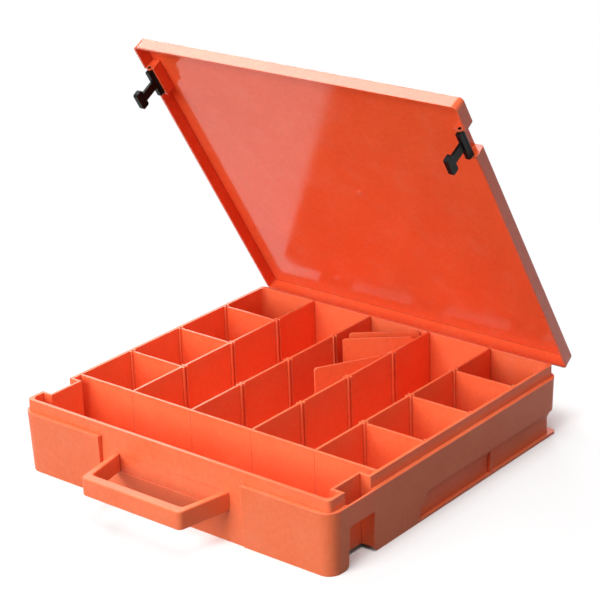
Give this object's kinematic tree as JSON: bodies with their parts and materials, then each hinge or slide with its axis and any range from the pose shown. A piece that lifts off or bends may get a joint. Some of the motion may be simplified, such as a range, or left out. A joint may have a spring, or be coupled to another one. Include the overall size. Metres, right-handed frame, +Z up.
{
  "type": "tool case",
  "caption": "Shallow hinged tool case with a compartment tray, loose dividers, side latches on the lid and a fixed strap handle.",
  "frame": {"origin": "centre of the base's underside, on the plane of its foot rim", "axes": "+X to the right seen from the handle, +Y from the handle to the lid's hinge, +Z up"},
  "size_m": [0.342, 0.393, 0.3452],
  "materials": {
    "tray": "moulded, satin with a fine grain",
    "lid": "moulded, satin with a fine grain",
    "divider": "moulded, satin",
    "latch": "moulded, satin black",
    "pin": "drawn wire"
  },
  "bodies": {
    "case": {"base_tray": "tray", "hinge_pin_left": "pin", "hinge_pin_middle": "pin", "hinge_pin_right": "pin"},
    "lid": {"lid": "lid"},
    "latch_left": {"latch_left": "latch"},
    "latch_right": {"latch_right": "latch"},
    "divider_left_1": {"divider_left_1": "divider"},
    "divider_left_2": {"divider_left_2": "divider"},
    "divider_left_3": {"divider_left_3": "divider"},
    "divider_right_1": {"divider_right_1": "divider"},
    "divider_right_2": {"divider_right_2": "divider"},
    "divider_right_3": {"divider_right_3": "divider"},
    "spare_divider_1": {"spare_divider_1": "divider"},
    "spare_divider_2": {"spare_divider_2": "divider"},
    "spare_divider_3": {"spare_divider_3": "divider"}
  },
  "joints": [
    {"name": "lid_hinge", "type": "hinge", "parent": "case", "child": "lid", "pos_m": [0, 0.1705, 0.049], "axis": [-1, 0, 0], "range_deg": [-59, 121]},
    {"name": "latch_left_pivot", "type": "hinge", "parent": "lid", "child": "latch_left", "pos_m": [-0.1649, 0.02594, 0.30513], "axis": [0, 0.515, -0.8572], "range_deg": [-9, 95]},
    {"name": "latch_right_pivot", "type": "hinge", "parent": "lid", "child": "latch_right", "pos_m": [0.1649, 0.02594, 0.30513], "axis": [0, -0.515, 0.8572], "range_deg": [-9, 95]},
    {"name": "divider_left_1_lift", "type": "slide", "parent": "case", "child": "divider_left_1", "axis": [0, 0, 1], "range_m": [0, 0.07]},
    {"name": "divider_left_2_lift", "type": "slide", "parent": "case", "child": "divider_left_2", "axis": [0, 0, 1], "range_m": [0, 0.07]},
    {"name": "divider_left_3_lift", "type": "slide", "parent": "case", "child": "divider_left_3", "axis": [0, 0, 1], "range_m": [0, 0.07]},
    {"name": "divider_right_1_lift", "type": "slide", "parent": "case", "child": "divider_right_1", "axis": [0, 0, 1], "range_m": [0, 0.07]},
    {"name": "divider_right_2_lift", "type": "slide", "parent": "case", "child": "divider_right_2", "axis": [0, 0, 1], "range_m": [0, 0.07]},
    {"name": "divider_right_3_lift", "type": "slide", "parent": "case", "child": "divider_right_3", "axis": [0, 0, 1], "range_m": [0, 0.07]},
    {"name": "spare_divider_1_lift", "type": "slide", "parent": "case", "child": "spare_divider_1", "axis": [0, 0, 1], "range_m": [0, 0.04]},
    {"name": "spare_divider_2_lift", "type": "slide", "parent": "case", "child": "spare_divider_2", "axis": [0, 0, 1], "range_m": [0, 0.06]},
    {"name": "spare_divider_3_lift", "type": "slide", "parent": "case", "child": "spare_divider_3", "axis": [0, 0, 1], "range_m": [0, 0.07]}
  ]
}
